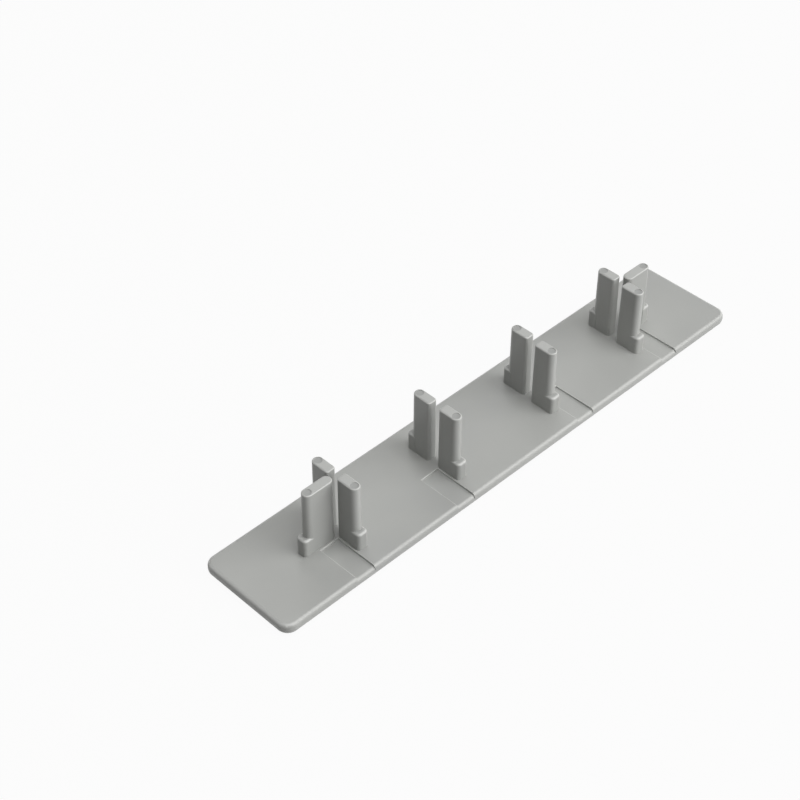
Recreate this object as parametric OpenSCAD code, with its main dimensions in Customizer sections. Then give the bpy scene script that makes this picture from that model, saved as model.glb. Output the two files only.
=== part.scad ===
// End cap for a wide, flat hollow extrusion, injection-moulded in one piece.
// A thin plate closes the end of the extrusion. Thin drafted prongs on its inner
// face push into four chambers, and a short boot at the foot of each prong wedges
// against the chamber wall.
// Frame: X along the cap, Y across it, Z out of the inner face. The show face lies
// on Z = 0 and the origin is at its centre. Millimetres.

/* [Extrusion] */
// Length of the extrusion's end that the cap closes
extrusion_length = 160; // [150:1:220]
// Width of the extrusion's end
extrusion_width = 30; // [27:1:60]
// Inset of the cap's rim from the extrusion's sides, so that it never stands proud
rim_inset = 0.25; // [0:0.05:0.5]

/* [Plate] */
// Thickness of the plate
plate_thickness = 3.5; // [3.5:0.1:6]
// Plan radius of the plate's corners
corner_radius = 3.2; // [2:0.1:6]
// Rounding of the show face's rim
show_rounding = 1.9; // [0.5:0.1:1.9]
// Rounding of the inner face's rim
inner_rounding = 1; // [0.3:0.1:1]

/* [Prongs] */
// Height of the prongs above the plate
prong_height = 18.8; // [10:0.1:40]
// Thickness of a prong at its tip
prong_thickness = 2.85; // [2.6:0.05:3.5]
// Length at the tip of the prongs that point across the cap
cross_prong_length = 5.95; // [4.5:0.05:9]
// Plan radius at the tip of these prongs' inner corners
inner_corner = 0.7; // [0.5:0.05:1.2]
// Length at the tip of the prongs that point at the cap's ends
end_prong_length = 8.6; // [4.5:0.1:12]
// Draft of the prongs' sides, in degrees
prong_draft = 0.35; // [0.1:0.05:1]
// Rounding round the prongs' tips
tip_rounding = 0.35; // [0.2:0.05:0.45]
// Offset of the inner pair of prong groups from the cap's middle
inner_group_x = 16.9; // [14:0.1:20]
// Offset of the outer pair of prong groups from the cap's middle
outer_group_x = 50.1; // [45:0.1:60]
// Distance from the cap's long axis to the tips' inner ends
group_gap = 1.4; // [0.8:0.05:2]
// How far the far prong of a group stands nearer the cap's end than the near one
far_prong_shift = 0.35; // [0:0.05:0.6]
// Distance from a group's near prong to the inner end of its end prong
end_prong_gap = 1.95; // [1.6:0.05:4]

/* [Boots] */
// Height of the boot at the foot of a prong
boot_height = 5.2; // [2:0.1:8]
// How far a boot stands out beyond the prong's tip
boot_reach = 1.4; // [0.6:0.05:2]
// How far a boot's sides stand proud of the prong's foot
boot_proud = 0.06; // [0.02:0.01:0.2]
// Plan radius of a boot's outer corners
boot_corner = 1; // [0.8:0.05:1.3]
// Rounding of a boot's upper rim
boot_rounding = 0.7; // [0.2:0.05:0.75]

/* [Ejector marks] */
// Diameter of the ejector pins that push on the prongs' tips
ejector_diameter = 2.1; // [1:0.1:2.3]
// Depth of the mark that an ejector pin leaves
ejector_depth = 0.12; // [0.05:0.01:0.3]

/* [Recesses] */
// Width of the recesses in the near edge of the inner face
recess_width = 5.6; // [3:0.1:9]
// Depth of the recesses
recess_depth = 0.55; // [0.2:0.05:0.55]
// Distance from the cap's long axis to the recesses' closed end
recess_end = 2.1; // [1.7:0.1:6]
// Land between a recess and the foot of the prong beside it
recess_land = 0.45; // [0.2:0.05:2]

/* [Hidden] */
$fn = 64;
// overlap that seats one solid in the next
seat = 0.5;
// clearance of a cutting tool beyond the surface that it opens
clear = 1;
// the cap's own length and width
cap_length = extrusion_length - 2 * rim_inset;
cap_width = extrusion_width - 2 * rim_inset;
// half the prong's thickness, at the tip and at the foot
tip_half = prong_thickness / 2;
draft_growth = prong_height * tan(prong_draft);
foot_half = tip_half + draft_growth;
boot_half = foot_half + boot_proud;
// how far in from the tip's side, and at what height, the tip's rounding has its centre,
// so that it touches the drafted side
rounding_in = tip_rounding / cos(prong_draft) - tip_rounding * tan(prong_draft);
rounding_z = prong_height - tip_rounding;

// Quarter of a disc, in the first quadrant.
module quarter_disc(radius) {
    intersection() {
        circle(r = radius);
        square(radius);
    }
}

// Outline of a rounded rim: a block from the axis out to a reach, with its lower and
// upper outer edges rounded.
module rim_section(reach, height, lower, upper) {
    polygon([
        [0, 0],
        [reach - lower, 0],
        [reach, lower],
        [reach, height - upper],
        [reach - upper, height],
        [0, height]
    ]);
    if (lower > 0)
        translate([reach - lower, lower])
            mirror([0, 1])
                quarter_disc(lower);
    translate([reach - upper, height - upper])
        quarter_disc(upper);
}

// Straight run of a section along X, from one X to another.
module run_x(from, to) {
    translate([from, 0, 0])
        rotate([90, 0, 90])
            linear_extrude(height = to - from)
                children();
}

// Straight run of a section along Y, from one Y to another.
module run_y(from, to) {
    translate([0, to, 0])
        rotate([90, 0, 0])
            linear_extrude(height = to - from)
                children();
}

// Half of the plate's cross-section, from the middle out to the rim.
module plate_section(reach) {
    rim_section(reach, plate_thickness, show_rounding, inner_rounding);
}

// The plate: a long run, a run between the corners at each end, and a turned
// quarter at each corner.
module plate() {
    corner_x = cap_length / 2 - corner_radius;
    corner_y = cap_width / 2 - corner_radius;
    run_x(-corner_x, corner_x) {
        plate_section(cap_width / 2);
        mirror([1, 0])
            plate_section(cap_width / 2);
    }
    for (side = [0, 1])
        mirror([side, 0, 0])
            translate([corner_x, 0, 0]) {
                run_y(-corner_y, corner_y)
                    plate_section(corner_radius);
                for (end = [0, 1])
                    mirror([0, end, 0])
                        translate([0, corner_y, 0])
                            rotate_extrude(angle = 90)
                                plate_section(corner_radius);
            }
}

// What a recess takes off the inner face. It is open at the near edge, and the rim's
// rounding steps down with it.
module recess_cut() {
    floor_z = plate_thickness - recess_depth;
    rim_y = -cap_width / 2;
    run_x(0, recess_width)
        difference() {
            translate([rim_y - clear, floor_z - inner_rounding])
                square([clear - rim_y - recess_end, recess_depth + inner_rounding + clear]);
            translate([rim_y + inner_rounding, floor_z - inner_rounding - clear])
                square([-rim_y, inner_rounding + clear]);
            translate([rim_y + inner_rounding, floor_z - inner_rounding])
                circle(r = inner_rounding);
        }
}

// Half of a prong's cross-section, from its axis out to its reach at the tip: a drafted
// side and a rounded tip.
module prong_section(reach) {
    rounding_x = reach - rounding_in;
    polygon([
        [0, -seat],
        [reach + draft_growth, -seat],
        [reach + draft_growth, 0],
        [rounding_x + tip_rounding * cos(prong_draft), rounding_z + tip_rounding * sin(prong_draft)],
        [rounding_x, prong_height],
        [0, prong_height]
    ]);
    translate([rounding_x, rounding_z])
        rotate([0, 0, prong_draft])
            quarter_disc(tip_rounding);
}

// A prong's blade, pointing along +Y from its inner end at the origin. Its outer end is
// fully round in plan, and its inner end has a corner of its own.
module blade(length, corner) {
    corner_x = tip_half - corner;
    outer_y = length - tip_half;
    run_y(corner, outer_y) {
        prong_section(tip_half);
        mirror([1, 0])
            prong_section(tip_half);
    }
    translate([0, outer_y, 0])
        rotate_extrude(angle = 180)
            prong_section(tip_half);
    translate([0, corner, 0])
        rotate([0, 0, -90]) {
            if (corner_x > 0)
                run_y(-corner_x, corner_x)
                    prong_section(corner);
            for (side = [0, 1])
                mirror([0, side, 0])
                    translate([0, corner_x, 0])
                        rotate_extrude(angle = 90)
                            prong_section(corner);
        }
}

// Rim of a boot, sunk into the plate by the seat.
module boot_section(reach) {
    translate([0, -seat])
        rim_section(reach, boot_height + seat, 0, boot_rounding);
}

// The boot round the outer end of a prong's foot.
module boot(length) {
    inner_y = length - tip_half;
    outer_y = length + boot_reach - boot_corner;
    corner_x = boot_half - boot_corner;
    run_y(inner_y, outer_y) {
        boot_section(boot_half);
        mirror([1, 0])
            boot_section(boot_half);
    }
    translate([0, outer_y, 0]) {
        rotate([0, 0, 90])
            run_y(-corner_x, corner_x)
                boot_section(boot_corner);
        for (side = [0, 1])
            mirror([side, 0, 0])
                translate([corner_x, 0, 0])
                    rotate_extrude(angle = 90)
                        boot_section(boot_corner);
    }
}

// A complete prong: blade, boot and the ejector pin's mark on the tip.
module prong(length, corner) {
    translate([0, 0, plate_thickness])
        difference() {
            union() {
                blade(length, corner);
                boot(length);
            }
            translate([0, length - tip_half, prong_height - ejector_depth])
                cylinder(h = ejector_depth + clear, d = ejector_diameter);
        }
}

// One group of prongs for the +X side: a near and a far prong across the cap, and on
// an end group a third that points at the cap's end.
module prong_group(x, at_end) {
    translate([x, -group_gap, 0])
        mirror([0, 1, 0])
            prong(cross_prong_length, inner_corner);
    translate([x + far_prong_shift, group_gap, 0])
        prong(cross_prong_length, inner_corner);
    if (at_end)
        translate([x + end_prong_gap, 0, 0])
            rotate([0, 0, -90])
                prong(end_prong_length, tip_half);
}

// The whole moulding. Both halves of its length mirror each other.
module end_cap() {
    color([0.66, 0.66, 0.65])
        union() {
            difference() {
                plate();
                for (side = [0, 1])
                    mirror([side, 0, 0])
                        for (x = [inner_group_x, outer_group_x])
                            translate([x + foot_half + recess_land, 0, 0])
                                recess_cut();
            }
            for (side = [0, 1])
                mirror([side, 0, 0]) {
                    prong_group(inner_group_x, false);
                    prong_group(outer_group_x, true);
                }
        }
}

end_cap();
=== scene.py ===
"""Dressed model of a push-in end cap, moulded in one piece from grey plastic.

The cap closes the end of a wide, flat hollow extrusion. A thin plate with rounded corners
carries ten drafted prongs in four groups, each with a short boot at its foot. The cap lies
on its show face, with the prongs upwards. Sizes are in millimetres in the classes below,
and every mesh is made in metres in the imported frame: +X along the cap, +Y across it, away
from the recessed edge, and +Z out of the inner face.
"""

import logging
import math
from collections.abc import Callable
from dataclasses import dataclass, field
from enum import Enum

import bmesh
import bpy
from mathutils import Euler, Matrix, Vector


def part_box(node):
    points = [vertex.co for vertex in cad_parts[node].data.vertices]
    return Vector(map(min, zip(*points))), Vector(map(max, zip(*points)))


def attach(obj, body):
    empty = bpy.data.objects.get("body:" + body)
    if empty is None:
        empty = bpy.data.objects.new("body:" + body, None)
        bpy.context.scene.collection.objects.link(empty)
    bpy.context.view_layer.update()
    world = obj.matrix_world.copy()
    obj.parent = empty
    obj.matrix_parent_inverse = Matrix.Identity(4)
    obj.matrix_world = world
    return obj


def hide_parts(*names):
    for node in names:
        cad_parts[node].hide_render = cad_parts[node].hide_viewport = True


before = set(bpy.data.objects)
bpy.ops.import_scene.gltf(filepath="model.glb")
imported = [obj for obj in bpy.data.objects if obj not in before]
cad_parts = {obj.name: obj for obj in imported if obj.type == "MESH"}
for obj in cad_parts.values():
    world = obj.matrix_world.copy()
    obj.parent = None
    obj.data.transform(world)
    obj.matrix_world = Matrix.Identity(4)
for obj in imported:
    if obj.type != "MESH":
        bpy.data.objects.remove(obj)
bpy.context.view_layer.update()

LOG = logging.getLogger("end_cap")
MM = 0.001
# lengths in metres, and parts of a unit normal, that differ by less than this are the same
SAME = 1e-6
WHITE = (1.0, 1.0, 1.0, 1.0)
# a noise pattern keeps mostly between these two values
CLOUD_LOW = 0.3
CLOUD_HIGH = 0.7
NODE = "end_cap"
BODY = "root"
# the faces' attribute that is 1 on the floor of an ejector pin's mark, which is painted darker,
# partly as painted shade
PIN_MARK = "pin_mark"
# the faces' attribute that says how far a painted highlight makes the colour paler, from 0 to 1
PAINTED_HIGHLIGHT = "painted_highlight"


class InnerEnd(Enum):
    """The plan shape of a prong's inner end."""

    FLAT = "flat, with small corners"
    ROUND = "fully round"


class Towards(Enum):
    """The way a prong points out of its group, as a turn about Z in radians."""

    FAR_EDGE = 0.0
    LEFT_END = math.pi / 2
    NEAR_EDGE = math.pi
    RIGHT_END = -math.pi / 2


def linear(code: str) -> tuple[float, float, float, float]:
    """Turns an sRGB hex colour into the linear colour that a socket takes.

    Args:
        code: six hex digits, with or without a leading hash.

    Returns:
        Red, green, blue and an alpha of 1.
    """
    digits = code.lstrip("#")
    parts = [int(digits[i : i + 2], 16) / 255 for i in (0, 2, 4)]
    bent = [p / 12.92 if p <= 0.04045 else ((p + 0.055) / 1.055) ** 2.4 for p in parts]
    return (bent[0], bent[1], bent[2], 1.0)


def add_node(
    tree: bpy.types.NodeTree,
    kind: str,
    settings: dict[str, object] | None = None,
    values: dict[str | int, object] | None = None,
    links: dict[str | int, bpy.types.NodeSocket] | None = None,
) -> bpy.types.Node:
    """Adds a node to a tree, with its settings, its sockets' values and its links.

    Args:
        tree: the node tree that takes the node.
        kind: Blender's name for the kind of node.
        settings: properties of the node itself.
        values: input socket to the value that is set on it.
        links: input socket to the output socket that feeds it.

    Returns:
        The new node.
    """
    node = tree.nodes.new(kind)
    for name, value in (settings or {}).items():
        setattr(node, name, value)
    for name, value in (values or {}).items():
        node.inputs[name].default_value = value
    for name, source in (links or {}).items():
        tree.links.new(source, node.inputs[name])
    return node


def take(piece: bpy.types.Object) -> None:
    """Makes one object the only selected and active one, as operators act on all selected."""
    bpy.ops.object.select_all(action="DESELECT")
    piece.select_set(True)
    bpy.context.view_layer.objects.active = piece


def apply_place(piece: bpy.types.Object) -> None:
    """Moves an object's place, turn and scale into its mesh."""
    take(piece)
    bpy.ops.object.transform_apply(location=True, rotation=True, scale=True)


def change_picked(
    piece: bpy.types.Object,
    kind: str,
    pick: Callable[[bmesh.types.BMesh], list],
    change: Callable[[], object],
) -> None:
    """Selects parts of a mesh in edit mode and runs an operator on them.

    Args:
        piece: the object to edit.
        kind: the kind of part, VERT, EDGE or FACE.
        pick: lists the mesh's parts that are selected.
        change: runs the operator.
    """
    take(piece)
    bpy.ops.object.mode_set(mode="EDIT")
    bpy.ops.mesh.select_mode(type=kind)
    bpy.ops.mesh.select_all(action="DESELECT")
    mesh = bmesh.from_edit_mesh(piece.data)
    for part in pick(mesh):
        part.select_set(True)
    bmesh.update_edit_mesh(piece.data)
    change()
    bpy.ops.object.mode_set(mode="OBJECT")


def edit_verts(
    piece: bpy.types.Object, test: Callable[[Vector], bool], change: Callable[[], object]
) -> None:
    """Runs an operator on the points that pass a test.

    Args:
        piece: the object to edit.
        test: says of a point, in metres, whether it is taken.
        change: runs the operator.
    """
    change_picked(piece, "VERT", lambda mesh: [v for v in mesh.verts if test(v.co)], change)


def edit_edges(
    piece: bpy.types.Object,
    test: Callable[[Vector, Vector], bool],
    change: Callable[[], object],
) -> None:
    """Runs an operator on the edges that pass a test.

    Args:
        piece: the object to edit.
        test: says of an edge's two ends, in metres, whether the edge is taken.
        change: runs the operator.
    """
    change_picked(
        piece,
        "EDGE",
        lambda mesh: [e for e in mesh.edges if test(e.verts[0].co, e.verts[1].co)],
        change,
    )


def edit_faces(
    piece: bpy.types.Object,
    test: Callable[[Vector, Vector], bool],
    change: Callable[[], object],
) -> None:
    """Runs an operator on the faces that pass a test.

    Args:
        piece: the object to edit.
        test: says of a face's centre, in metres, and its normal whether the face is taken.
        change: runs the operator.
    """
    change_picked(
        piece,
        "FACE",
        lambda mesh: [f for f in mesh.faces if test(f.calc_center_median(), f.normal)],
        change,
    )


def merge_points(piece: bpy.types.Object) -> None:
    """Merges a mesh's doubled points."""
    take(piece)
    bpy.ops.object.mode_set(mode="EDIT")
    bpy.ops.mesh.select_all(action="SELECT")
    bpy.ops.mesh.remove_doubles(threshold=SAME)
    bpy.ops.object.mode_set(mode="OBJECT")


def rounding(radius: float, steps: int, affect: str = "EDGES") -> Callable[[], object]:
    """Gives the operator that rounds the selected edges or corners with a part of a circle.

    Args:
        radius: the rounding's radius in metres.
        steps: how many strips of faces, or edges of a flat corner, make it.
        affect: EDGES, or VERTICES for the corners of a flat outline.

    Returns:
        A call for edit_edges or edit_verts.
    """
    return lambda: bpy.ops.mesh.bevel(
        offset=radius,
        offset_type="OFFSET",
        segments=steps,
        profile=0.5,
        affect=affect,
        clamp_overlap=False,
    )


def extrusion(rise: float) -> Callable[[], object]:
    """Gives the operator that extrudes the selected faces along Z by a rise in metres."""
    return lambda: bpy.ops.mesh.extrude_region_move(
        TRANSFORM_OT_translate={"value": (0, 0, rise)}
    )


def slant(one: float, other: float) -> float:
    """Gives 1 where a normal leans as much one way as the other, and 0 where it keeps to one."""
    return (2 * one * other) ** 2


def mark_faces(
    piece: bpy.types.Object, name: str, share: Callable[[Vector, Vector], float]
) -> None:
    """Writes a number on each face of a piece, as an attribute that the material reads.

    Args:
        piece: the object whose faces are marked.
        name: the attribute's name.
        share: gives the number for a face's centre, in metres, and its normal.
    """
    layer = piece.data.attributes.new(name, "FLOAT", "FACE")
    for face in piece.data.polygons:
        layer.data[face.index].value = share(face.center, face.normal)


def combine(piece: bpy.types.Object, tool: bpy.types.Object, operation: str) -> None:
    """Unites a piece with another closed mesh or cuts that out of it, and deletes the other.

    Args:
        piece: the object that stays.
        tool: the object that is added or taken away.
        operation: UNION or DIFFERENCE.
    """
    take(piece)
    change = piece.modifiers.new("combine", "BOOLEAN")
    change.operation = operation
    change.solver = "EXACT"
    change.object = tool
    bpy.ops.object.modifier_apply(modifier=change.name)
    bpy.data.objects.remove(tool)


def add_block(name: str, low: Vector, high: Vector) -> bpy.types.Object:
    """Adds a block between two corners.

    Args:
        name: the object's name.
        low: the lowest corner in metres.
        high: the highest corner in metres.

    Returns:
        The block, with its place in its mesh.
    """
    bpy.ops.object.select_all(action="DESELECT")
    bpy.ops.mesh.primitive_cube_add(size=1, location=(low + high) / 2, scale=high - low)
    block = bpy.context.active_object
    block.name = name
    apply_place(block)
    return block


def add_sheet(name: str, low: Vector, high: Vector) -> bpy.types.Object:
    """Adds a flat rectangle that faces up, between two corners at one height.

    Args:
        name: the object's name.
        low: the lowest corner in metres.
        high: the highest corner in metres.

    Returns:
        The rectangle, with its place in its mesh.
    """
    bpy.ops.object.select_all(action="DESELECT")
    span = high - low
    bpy.ops.mesh.primitive_plane_add(size=1, location=(low + high) / 2)
    sheet = bpy.context.active_object
    sheet.name = name
    sheet.scale = (span.x, span.y, 1)
    apply_place(sheet)
    return sheet


@dataclass(frozen=True)
class Clouds:
    """A soft random pattern: its size in mm and how many finer layers it has."""

    size: float
    layers: float

    def build(
        self, tree: bpy.types.NodeTree, place: bpy.types.NodeSocket
    ) -> bpy.types.NodeSocket:
        """Adds the pattern.

        Args:
            tree: the material's tree.
            place: the coordinates in metres.

        Returns:
            The pattern's grey socket.
        """
        noise = add_node(
            tree,
            "ShaderNodeTexNoise",
            values={"Scale": 1 / (self.size * MM), "Detail": self.layers},
            links={"Vector": place},
        )
        return noise.outputs["Fac"]


@dataclass(frozen=True)
class MouldedPlastic:
    """Grey ABS, injection-moulded in a tool with a fine spark-eroded finish.

    The tool's grain makes a satin surface: the light spreads softly over it, and only the
    Slow flow of the melt leaves the grey slightly uneven. Highlights on the edges, tips and rounds
    are painted into the colour as a paler grey.
    """

    name: str = "satin moulded ABS"
    grey: str = "#A9AAA7"
    pale: str = "#ADAEAB"
    deep: str = "#A5A6A4"
    # the floor of an ejector pin's mark: partly the duller skin against the pin's ground end,
    # partly painted shade in the shallow mark
    pin_mark: str = "#A1A2A0"
    # painted highlight: the paler grey painted on the edges, steps, tips, rounds and upright
    # corners, where the light catches them
    painted_highlight_grey: str = "#C9CAC7"
    # ABS
    ior: float = 1.54
    smooth: float = 0.36
    rough: float = 0.46
    # what the mask of painted highlights takes off the roughness
    highlight_gloss: float = 0.08
    # drift of the grey over the plate
    drift: Clouds = Clouds(34.0, 3.0)
    # spread of the satin's gloss
    gloss_patch: Clouds = Clouds(5.0, 4.0)
    # the spark-eroded grain is 0.05 mm across, drawn three times as coarse so that it shows
    grain: Clouds = Clouds(0.15, 2.0)
    grain_height: float = 0.004
    # shallow waves of the skin as it cools
    wave: Clouds = Clouds(9.0, 1.0)
    wave_height: float = 0.006

    def mark(self, tree: bpy.types.NodeTree, name: str) -> bpy.types.NodeSocket:
        """Reads one of the numbers that mark_faces writes."""
        return add_node(tree, "ShaderNodeAttribute", {"attribute_name": name}).outputs["Fac"]

    def blend(
        self,
        tree: bpy.types.NodeTree,
        share: bpy.types.NodeSocket,
        under: bpy.types.NodeSocket,
        over: str,
    ) -> bpy.types.NodeSocket:
        """Blends a colour of the tree towards a fixed one.

        Args:
            tree: the material's tree.
            share: how far the blend goes, from 0 to 1.
            under: the colour where the share is 0.
            over: the hex colour where the share is 1.

        Returns:
            The blended colour.
        """
        # a colour mix takes its two colours on sockets 6 and 7 and gives its result on 2
        mix = add_node(
            tree,
            "ShaderNodeMix",
            {"data_type": "RGBA"},
            values={7: linear(over)},
            links={0: share, 6: under},
        )
        return mix.outputs[2]

    def colour(
        self,
        tree: bpy.types.NodeTree,
        place: bpy.types.NodeSocket,
        painted_highlight: bpy.types.NodeSocket,
    ) -> bpy.types.NodeSocket:
        """Adds the colour: a drifting grey, paler where highlights are painted, darker on the pin
        marks' floors, partly as painted shade.

        Args:
            tree: the material's tree.
            place: the coordinates in metres.
            painted_highlight: how far a painted highlight makes the colour paler.

        Returns:
            The colour.
        """
        tone = add_node(tree, "ShaderNodeValToRGB", links={"Fac": self.drift.build(tree, place)})
        ramp = tone.color_ramp
        ramp.elements[0].position = CLOUD_LOW
        ramp.elements[0].color = linear(self.deep)
        ramp.elements[1].position = CLOUD_HIGH
        ramp.elements[1].color = linear(self.pale)
        ramp.elements.new((CLOUD_LOW + CLOUD_HIGH) / 2).color = linear(self.grey)
        # painted highlight: paler where the faces' attribute says the light catches
        highlighted = self.blend(tree, painted_highlight, tone.outputs["Color"], self.painted_highlight_grey)
        # darker on the pin marks' floors: partly duller skin, partly painted shade
        return self.blend(tree, self.mark(tree, PIN_MARK), highlighted, self.pin_mark)

    def roughness(
        self,
        tree: bpy.types.NodeTree,
        place: bpy.types.NodeSocket,
        painted_highlight: bpy.types.NodeSocket,
    ) -> bpy.types.NodeSocket:
        """Adds the roughness: patches of the satin, glossier where highlights are painted.

        Args:
            tree: the material's tree.
            place: the coordinates in metres.
            painted_highlight: how far a highlight is painted there, which also lowers the
                roughness.

        Returns:
            The roughness.
        """
        satin = add_node(
            tree,
            "ShaderNodeMapRange",
            values={
                "From Min": CLOUD_LOW,
                "From Max": CLOUD_HIGH,
                "To Min": self.smooth,
                "To Max": self.rough,
            },
            links={"Value": self.gloss_patch.build(tree, place)},
        )
        glossier = add_node(
            tree,
            "ShaderNodeMath",
            {"operation": "MULTIPLY_ADD"},
            values={1: -self.highlight_gloss},
            links={0: painted_highlight, 2: satin.outputs["Result"]},
        )
        return glossier.outputs[0]

    def relief(
        self, tree: bpy.types.NodeTree, place: bpy.types.NodeSocket
    ) -> bpy.types.NodeSocket:
        """Adds the skin's relief: the grain on the shallow waves.

        Args:
            tree: the material's tree.
            place: the coordinates in metres.

        Returns:
            The normal.
        """
        waves = add_node(
            tree,
            "ShaderNodeBump",
            values={"Strength": 1.0, "Distance": self.wave_height * MM},
            links={"Height": self.wave.build(tree, place)},
        )
        grain = add_node(
            tree,
            "ShaderNodeBump",
            values={"Strength": 1.0, "Distance": self.grain_height * MM},
            links={"Height": self.grain.build(tree, place), "Normal": waves.outputs["Normal"]},
        )
        return grain.outputs["Normal"]

    def build(self) -> bpy.types.Material:
        """Makes the material.

        Returns:
            A node material on Object coordinates.
        """
        material = bpy.data.materials.new(self.name)
        material.use_nodes = True
        tree = material.node_tree
        tree.nodes.clear()
        place = add_node(tree, "ShaderNodeTexCoord").outputs["Object"]
        # the faces' attribute of painted highlights
        painted_highlight = self.mark(tree, PAINTED_HIGHLIGHT)
        shader = add_node(
            tree,
            "ShaderNodeBsdfPrincipled",
            values={"IOR": self.ior},
            links={
                "Base Color": self.colour(tree, place, painted_highlight),
                "Roughness": self.roughness(tree, place, painted_highlight),
                "Normal": self.relief(tree, place),
            },
        )
        add_node(tree, "ShaderNodeOutputMaterial", links={"Surface": shader.outputs["BSDF"]})
        return material


@dataclass
class Recess:
    """A shallow step in the inner face, open at the near edge.

    The rim's rounding steps down with it.
    """

    from_x: float
    width: float = 5.6
    depth: float = 0.55
    closed_end: float = 2.1
    clear: float = 1.0
    steps: int = 10

    def cutter(self, plate: "Plate") -> bpy.types.Object:
        """Makes the closed shape that the recess takes off the plate.

        Args:
            plate: the plate, for its rim.

        Returns:
            The cutter.
        """
        rim = -plate.width / 2 * MM
        floor = (plate.thickness - self.depth) * MM
        radius = plate.inner_rounding * MM
        low = Vector((self.from_x * MM, rim - self.clear * MM, floor))
        high = Vector(
            (
                (self.from_x + self.width) * MM,
                -self.closed_end * MM,
                (plate.thickness + self.clear) * MM,
            )
        )
        block = add_block("recess_cutter", low, high)
        edit_faces(
            block,
            lambda centre, normal: True,
            lambda: bpy.ops.mesh.bisect(plane_co=(0, rim, 0), plane_no=(0, 1, 0)),
        )
        edit_faces(
            block,
            lambda centre, normal: normal.z < SAME - 1 and centre.y < rim,
            extrusion(-radius),
        )
        edit_edges(
            block,
            lambda a, b: all(abs(p.y - rim) < SAME and abs(p.z - floor) < SAME for p in (a, b)),
            rounding(radius, self.steps),
        )
        merge_points(block)
        return block

    def borders(self, a: Vector, b: Vector) -> bool:
        """Says whether an edge of the inner face runs along the recess.

        Args:
            a: the edge's one end in metres.
            b: its other end.

        Returns:
            True for an edge on one of the recess's three sides.
        """
        sides = [self.from_x * MM, (self.from_x + self.width) * MM]
        along = any(abs(a.x - x) < SAME and abs(b.x - x) < SAME for x in sides)
        end = -self.closed_end * MM
        within = all(sides[0] - SAME < p.x < sides[1] + SAME for p in (a, b))
        return along or (within and abs(a.y - end) < SAME and abs(b.y - end) < SAME)


@dataclass
class Plate:
    """The plate that closes the extrusion: a slab with rounded corners and two rounded rims."""

    length: float
    width: float
    recesses: list[Recess] = field(default_factory=list)
    thickness: float = 3.5
    corner: float = 3.2
    show_rounding: float = 1.9
    inner_rounding: float = 1.0
    edge_break: float = 0.24
    corner_steps: int = 24
    rim_steps: int = 14
    edge_steps: int = 4
    # how far a painted highlight makes the upper rim paler, and the tilt in degrees where that is
    # strongest
    rim_highlight: float = 0.65
    rim_tilt: float = 33.0
    # how far painted light makes the recesses' walls paler
    wall_painted_light: float = 0.65

    def painted_highlight(self, centre: Vector, normal: Vector) -> float:
        """Says how far a painted highlight makes a face paler: on the upper rim and in the
        recesses.

        Args:
            centre: the face's centre in metres.
            normal: the face's normal.

        Returns:
            A share from 0 to 1.
        """
        rim_x = (self.length / 2 - self.inner_rounding) * MM
        rim_y = (self.width / 2 - self.inner_rounding) * MM
        side_wall = abs(normal.x) > 1 - SAME and abs(centre.x) < rim_x
        end_wall = abs(normal.y) > 1 - SAME and abs(centre.y) < rim_y
        if side_wall or end_wall:
            return self.wall_painted_light
        if normal.z <= 0 or normal.z > 1 - SAME:
            return 0.0
        if abs(centre.x) > rim_x or abs(centre.y) > rim_y:
            turn = math.degrees(math.acos(normal.z)) / self.rim_tilt
            return self.rim_highlight * math.sin(turn * math.pi / 2) ** 2 if turn < 2 else 0.0
        return slant(normal.z, math.hypot(normal.x, normal.y))

    def build(self) -> bpy.types.Object:
        """Models the plate from a slab: corners first, then the two rims, then the recesses.

        Returns:
            The plate's object.
        """
        half = Vector((self.length / 2, self.width / 2, 0)) * MM
        top = self.thickness * MM
        plate = add_block("plate", -half, half + Vector((0, 0, top)))
        edit_edges(
            plate,
            lambda a, b: abs(a.z - b.z) > SAME,
            rounding(self.corner * MM, self.corner_steps),
        )
        edit_edges(
            plate,
            lambda a, b: a.z < SAME and b.z < SAME,
            rounding(self.show_rounding * MM, self.rim_steps),
        )
        edit_edges(
            plate,
            lambda a, b: a.z > top - SAME and b.z > top - SAME,
            rounding(self.inner_rounding * MM, self.rim_steps),
        )
        merge_points(plate)
        for recess in self.recesses:
            combine(plate, recess.cutter(self), "DIFFERENCE")
        edit_edges(
            plate,
            lambda a, b: min(a.z, b.z) > top - SAME and any(r.borders(a, b) for r in self.recesses),
            rounding(self.edge_break * MM, self.edge_steps),
        )
        mark_faces(plate, PAINTED_HIGHLIGHT, self.painted_highlight)
        return plate


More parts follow.
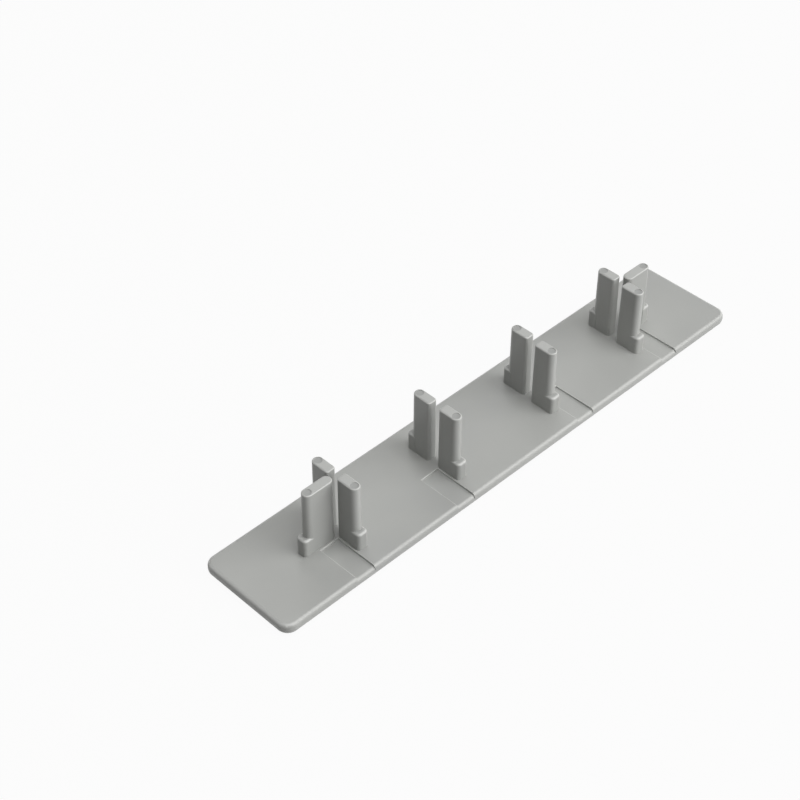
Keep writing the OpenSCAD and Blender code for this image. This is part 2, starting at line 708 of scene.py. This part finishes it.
@dataclass
class Prong:
    """A drafted blade with an ejector pin's mark on its rounded tip and a boot at its foot."""

    length: float
    inner_end: InnerEnd
    plate_top: float
    height: float
    thickness: float = 2.85
    draft: float = 0.35
    inner_corner: float = 0.7
    tip_rounding: float = 0.35
    seat: float = 0.5
    boot_height: float = 5.2
    boot_reach: float = 1.4
    boot_proud: float = 0.06
    boot_corner: float = 1.0
    boot_rounding: float = 0.7
    mark: float = 2.1
    mark_depth: float = 0.12
    # how far the wall of a mark leans out, from its floor to the tip's face
    mark_lean: float = 0.03
    clear: float = 1.0
    end_steps: int = 16
    tip_steps: int = 6
    mark_steps: int = 48
    # how far a painted highlight makes the tip's flat, the outer round and the upright corners
    # paler
    tip_highlight: float = 0.36
    round_highlight: float = 0.35
    corner_highlight: float = 0.4

    @property
    def growth(self) -> float:
        """How far each side grows from the tip to the foot, by the draft."""
        return self.height * math.tan(math.radians(self.draft))

    @property
    def foot_half(self) -> float:
        """Half the blade's thickness at its foot."""
        return self.thickness / 2 + self.growth

    @property
    def tip_z(self) -> float:
        """The tip's height in metres."""
        return (self.plate_top + self.height) * MM

    @property
    def boot_top(self) -> float:
        """The height of the boot's upper side in metres."""
        return (self.plate_top + self.boot_height) * MM

    def pin_mark(self, centre: Vector, normal: Vector) -> float:
        """Says, as 1 or 0, whether a face is the floor of the ejector pin's mark."""
        floor = self.tip_z - self.mark_depth * MM
        return float(abs(centre.z - floor) < SAME and normal.z > 1 - SAME)

    def painted_highlight(self, centre: Vector, normal: Vector) -> float:
        """Says how far a painted highlight makes a face paler: on the tip, the edges and the outer
        round.

        Args:
            centre: the face's centre in metres.
            normal: the face's normal.

        Returns:
            A share from 0 to 1.
        """
        if normal.z > 1 - SAME:
            return self.tip_highlight if centre.z > self.tip_z - SAME else 0.0
        upper = slant(max(0.0, normal.z), math.hypot(normal.x, normal.y))
        corner = slant(normal.x, normal.y)
        outer = max(0.0, normal.y) ** 2 if centre.z > self.boot_top else 0.0
        return max(upper, self.corner_highlight * corner, self.round_highlight * outer)

    def outline(
        self,
        name: str,
        low: tuple[float, float],
        high: tuple[float, float],
        inner: float,
        outer: float,
    ) -> bpy.types.Object:
        """Makes a flat outline at the depth where the prong is seated in the plate.

        Args:
            name: the object's name.
            low: lowest x and y in mm.
            high: highest x and y in mm.
            inner: radius of the corners at the lowest y, 0 for sharp ones.
            outer: radius of the corners at the highest y.

        Returns:
            The outline, as one face that looks up.
        """
        level = (self.plate_top - self.seat) * MM
        sheet = add_sheet(
            name,
            Vector((low[0] * MM, low[1] * MM, level)),
            Vector((high[0] * MM, high[1] * MM, level)),
        )
        middle = (low[1] + high[1]) / 2 * MM
        for radius, test in (
            (outer, lambda point: point.y > middle),
            (inner, lambda point: point.y < low[1] * MM + SAME),
        ):
            if radius > 0:
                edit_verts(sheet, test, rounding(radius * MM, self.end_steps, "VERTICES"))
        merge_points(sheet)
        return sheet

    def raise_outline(
        self, sheet: bpy.types.Object, rise: float, drafted_rise: float = 0.0
    ) -> None:
        """Turns an outline into a closed solid, with upright walls and drafted ones on them.

        Args:
            sheet: the outline.
            rise: height of the upright walls in mm.
            drafted_rise: height of the drafted walls in mm, 0 for none.
        """
        edit_faces(sheet, lambda centre, normal: True, extrusion(rise * MM))
        if drafted_rise > 0:
            top = max(v.co.z for v in sheet.data.vertices)
            edit_faces(
                sheet,
                lambda centre, normal: centre.z > top - SAME,
                lambda: bpy.ops.mesh.inset(
                    thickness=self.growth * MM, depth=drafted_rise * MM, use_even_offset=True
                ),
            )
        take(sheet)
        bpy.ops.object.mode_set(mode="EDIT")
        bpy.ops.mesh.select_all(action="SELECT")
        bpy.ops.mesh.normals_make_consistent(inside=False)
        bpy.ops.object.mode_set(mode="OBJECT")

    def blade(self) -> bpy.types.Object:
        """Models the blade, pointing along +Y from its inner end at the origin.

        Returns:
            The blade's object.
        """
        half = self.foot_half
        corner = half if self.inner_end is InnerEnd.ROUND else self.inner_corner + self.growth
        blade = self.outline(
            "blade", (-half, -self.growth), (half, self.length + self.growth), corner, half
        )
        self.raise_outline(blade, self.seat, self.height)
        edit_edges(
            blade,
            lambda a, b: min(a.z, b.z) > self.tip_z - SAME,
            rounding(self.tip_rounding * MM, self.tip_steps),
        )
        merge_points(blade)
        return blade

    def boot(self) -> bpy.types.Object:
        """Models the boot round the outer end of the blade's foot.

        Returns:
            The boot's object.
        """
        half = self.foot_half + self.boot_proud
        inner = self.length - self.thickness / 2
        outer = self.length + self.boot_reach
        boot = self.outline("boot", (-half, inner), (half, outer), 0, self.boot_corner)
        self.raise_outline(boot, self.seat + self.boot_height)
        edit_edges(
            boot,
            lambda a, b: min(a.z, b.z) > self.boot_top - SAME and max(a.y, b.y) > inner * MM + SAME,
            rounding(self.boot_rounding * MM, self.tip_steps),
        )
        merge_points(boot)
        return boot

    def build(self) -> bpy.types.Object:
        """Joins blade and boot and sinks the ejector pin's mark.

        Returns:
            The prong, pointing along +Y from its inner end at the origin.
        """
        prong = self.blade()
        combine(prong, self.boot(), "UNION")
        bpy.ops.object.select_all(action="DESELECT")
        tip = self.plate_top + self.height
        lean = self.mark_lean / self.mark_depth
        bpy.ops.mesh.primitive_cone_add(
            vertices=self.mark_steps,
            radius1=(self.mark / 2 - self.mark_lean) * MM,
            radius2=(self.mark / 2 + self.clear * lean) * MM,
            depth=(self.mark_depth + self.clear) * MM,
            location=(
                0,
                (self.length - self.thickness / 2) * MM,
                (tip + (self.clear - self.mark_depth) / 2) * MM,
            ),
        )
        pin = bpy.context.active_object
        apply_place(pin)
        combine(prong, pin, "DIFFERENCE")
        mark_faces(prong, PAINTED_HIGHLIGHT, self.painted_highlight)
        mark_faces(prong, PIN_MARK, self.pin_mark)
        prong.name = "prong"
        return prong


@dataclass
class EndCap:
    """The whole moulding: the plate and four groups of prongs, its two halves mirrored."""

    low: Vector
    high: Vector
    plastic: MouldedPlastic
    inner_group: float = 16.9
    outer_group: float = 50.1
    group_gap: float = 1.4
    far_shift: float = 0.35
    end_gap: float = 1.95
    cross_length: float = 5.95
    end_length: float = 8.6
    recess_land: float = 0.45
    thickness: float = 3.5
    smooth_angle: float = 30.0
    piece: bpy.types.Object | None = None

    @property
    def prong_height(self) -> float:
        """The prongs' height above the plate, in mm."""
        return (self.high.z - self.low.z) / MM - self.thickness

    def recesses(self) -> list[Recess]:
        """Places a recess beside each near prong, on the side of the cap's end.

        Returns:
            The four recesses.
        """
        foot = self.cross_prong().foot_half
        places = [group + foot + self.recess_land for group in (self.inner_group, self.outer_group)]
        width = Recess(0).width
        return [Recess(x) for x in places] + [Recess(-x - width) for x in places]

    def cross_prong(self) -> Prong:
        """A prong that points across the cap."""
        return Prong(self.cross_length, InnerEnd.FLAT, self.thickness, self.prong_height)

    def end_prong(self) -> Prong:
        """A prong that points at an end of the cap."""
        return Prong(self.end_length, InnerEnd.ROUND, self.thickness, self.prong_height)

    def places(self) -> dict[InnerEnd, list[tuple[float, float, Towards]]]:
        """Lists where the prongs stand.

        Returns:
            For each kind of prong, the place of its inner end in mm and the way it points.
        """
        cross, ends = [], []
        for side in (-1, 1):
            for group in (self.inner_group, self.outer_group):
                cross.append((side * group, -self.group_gap, Towards.NEAR_EDGE))
                cross.append((side * (group + self.far_shift), self.group_gap, Towards.FAR_EDGE))
            way = Towards.RIGHT_END if side > 0 else Towards.LEFT_END
            ends.append((side * (self.outer_group + self.end_gap), 0.0, way))
        return {InnerEnd.FLAT: cross, InnerEnd.ROUND: ends}

    def prongs(self) -> bpy.types.Object:
        """Models each kind of prong once and copies it to its places.

        Returns:
            All the prongs as one object.
        """
        models = {
            InnerEnd.FLAT: self.cross_prong().build(),
            InnerEnd.ROUND: self.end_prong().build(),
        }
        copies = []
        for kind, places in self.places().items():
            for x, y, way in places:
                copy = models[kind].copy()
                copy.data = models[kind].data.copy()
                bpy.context.scene.collection.objects.link(copy)
                copy.rotation_euler = (0, 0, way.value)
                copy.location = (x * MM, y * MM, 0)
                apply_place(copy)
                copies.append(copy)
            bpy.data.objects.remove(models[kind])
        bpy.ops.object.select_all(action="DESELECT")
        for copy in copies:
            copy.select_set(True)
        bpy.context.view_layer.objects.active = copies[0]
        bpy.ops.object.join()
        return copies[0]

    def build(self) -> None:
        """Models the moulding as one closed mesh."""
        span = (self.high - self.low) / MM
        piece = Plate(span.x, span.y, self.recesses(), self.thickness).build()
        LOG.info("plate: %d faces", len(piece.data.polygons))
        combine(piece, self.prongs(), "UNION")
        merge_points(piece)
        piece.name = "moulding"
        piece.data.name = "moulding"
        self.piece = piece

    def dress(self) -> None:
        """Smooths the moulding, gives it its plastic and puts it in the frame."""
        piece = self.piece
        take(piece)
        bpy.ops.object.shade_smooth_by_angle(angle=math.radians(self.smooth_angle))
        weigh = piece.modifiers.new("even shading", "WEIGHTED_NORMAL")
        weigh.mode = "FACE_AREA_WITH_ANGLE"
        weigh.keep_sharp = True
        bpy.ops.object.modifier_apply(modifier=weigh.name)
        piece.data.materials.clear()
        piece.data.materials.append(self.plastic.build())
        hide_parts(NODE)
        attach(piece, BODY)
        LOG.info("%s: %d faces", piece.name, len(piece.data.polygons))


@dataclass(frozen=True)
class SoftLight:
    """A white square soft box that looks at the middle of the cap.

    Angles are in degrees, the power in watts, and distance and size in metres.
    """

    name: str
    azimuth: float
    elevation: float
    power: float
    # whether the lamp shows in the plastic's gloss; one that stands low would glare off the plate
    in_gloss: bool = True
    distance: float = 1.6
    size: float = 0.8

    def build(self) -> None:
        """Adds the lamp."""
        light = bpy.data.lights.new(self.name, "AREA")
        light.shape = "SQUARE"
        light.size = self.size
        light.energy = self.power
        lamp = bpy.data.objects.new(self.name, light)
        bpy.context.scene.collection.objects.link(lamp)
        turn, tilt = math.radians(self.azimuth), math.radians(self.elevation)
        lamp.location = self.distance * Vector(
            (math.cos(tilt) * math.cos(turn), math.cos(tilt) * math.sin(turn), math.sin(tilt))
        )
        lamp.rotation_euler = (-lamp.location).to_track_quat("-Z", "Y").to_euler()
        lamp.visible_glossy = self.in_gloss


@dataclass
class Studio:
    """The white table, the soft light round it and the camera at the photograph's angle."""

    # the table lies this far below the cap, in mm, so that the two faces don't coincide
    floor_drop: float = 0.02
    # width of the table in metres
    floor_size: float = 8.0
    floor_grey: str = "#B9B9B8"
    floor_roughness: float = 0.9
    # share of plain white in what the camera sees of the table; the rest shows the shadow
    floor_glow: float = 0.95
    # strength of the even light from all round
    sky: float = 0.02
    # the camera's place in metres, its turn in degrees, and its lens and sensor in mm
    eye: tuple[float, float, float] = (-0.241476, -0.216569, 0.307204)
    turn: tuple[float, float, float] = (47.7133, 0.0835, -44.4351)
    lens: float = 79.588
    sensor: float = 36.0
    # what is nearer to the camera than this, in metres, isn't drawn
    nearest: float = 0.01
    lamps: list[SoftLight] = field(
        default_factory=lambda: [
            SoftLight("top", 0, 88, 8.8),
            SoftLight("key", -90, 65, 6.4),
            SoftLight("low key", -70, 20, 10.0, in_gloss=False),
            SoftLight("side", -45, 20, 10.5, in_gloss=False),
            SoftLight("rim", 135, 48, 1.3),
            SoftLight("back", 60, 35, 3.0, in_gloss=False),
        ]
    )

    def rays(self, tree: bpy.types.NodeTree) -> bpy.types.NodeSocket:
        """Adds the test for the rays that should meet plain white.

        Args:
            tree: the tree that takes the nodes.

        Returns:
            A socket that is 1 for a ray of the camera, of gloss or of glass.
        """
        path = add_node(tree, "ShaderNodeLightPath")
        test = path.outputs["Is Camera Ray"]
        for kind in ("Is Glossy Ray", "Is Transmission Ray"):
            either = add_node(
                tree,
                "ShaderNodeMath",
                {"operation": "MAXIMUM"},
                links={0: test, 1: path.outputs[kind]},
            )
            test = either.outputs[0]
        return test

    def build_floor(self) -> None:
        """Lays the table, which looks white and still keeps the cap's shadow."""
        bpy.ops.object.select_all(action="DESELECT")
        level = -self.floor_drop * MM
        bpy.ops.mesh.primitive_plane_add(size=self.floor_size, location=(0, 0, level))
        floor = bpy.context.active_object
        floor.name = "table"
        material = bpy.data.materials.new("white table")
        material.use_nodes = True
        tree = material.node_tree
        tree.nodes.clear()
        paint = add_node(
            tree,
            "ShaderNodeBsdfPrincipled",
            values={
                "Base Color": linear(self.floor_grey),
                "Roughness": self.floor_roughness,
                "Specular IOR Level": 0.0,
            },
        )
        glow = add_node(tree, "ShaderNodeEmission", values={"Color": WHITE, "Strength": 1.0})
        share = add_node(
            tree,
            "ShaderNodeMath",
            {"operation": "MULTIPLY"},
            values={1: self.floor_glow},
            links={0: self.rays(tree)},
        )
        blend = add_node(
            tree,
            "ShaderNodeMixShader",
            links={0: share.outputs[0], 1: paint.outputs[0], 2: glow.outputs[0]},
        )
        add_node(tree, "ShaderNodeOutputMaterial", links={"Surface": blend.outputs[0]})
        floor.data.materials.append(material)

    def build_sky(self) -> None:
        """Makes the surroundings: white to look at, and a dim even light."""
        world = bpy.data.worlds.new("studio")
        bpy.context.scene.world = world
        world.use_nodes = True
        tree = world.node_tree
        tree.nodes.clear()
        dim, white = (
            add_node(tree, "ShaderNodeBackground", values={"Color": WHITE, "Strength": strength})
            for strength in (self.sky, 1.0)
        )
        blend = add_node(
            tree,
            "ShaderNodeMixShader",
            links={0: self.rays(tree), 1: dim.outputs[0], 2: white.outputs[0]},
        )
        add_node(tree, "ShaderNodeOutputWorld", links={"Surface": blend.outputs[0]})

    def build_camera(self) -> None:
        """Sets the camera at the photograph's angle and distance."""
        data = bpy.data.cameras.new("camera")
        data.sensor_width = self.sensor
        data.lens = self.lens
        data.clip_start = self.nearest
        camera = bpy.data.objects.new("camera", data)
        bpy.context.scene.collection.objects.link(camera)
        camera.location = self.eye
        camera.rotation_euler = Euler([math.radians(angle) for angle in self.turn])
        bpy.context.scene.camera = camera

    def build(self) -> None:
        """Builds the whole studio."""
        self.build_floor()
        self.build_sky()
        for lamp in self.lamps:
            lamp.build()
        self.build_camera()
        bpy.context.scene.view_settings.view_transform = "Standard"


def main() -> None:
    """Builds the cap, dresses it and sets it in the studio."""
    logging.basicConfig(level=logging.INFO, format="%(name)s: %(message)s")
    low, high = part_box(NODE)
    cap = EndCap(low, high, MouldedPlastic())
    cap.build()
    cap.dress()
    Studio().build()


if __name__ == "__main__":
    main()
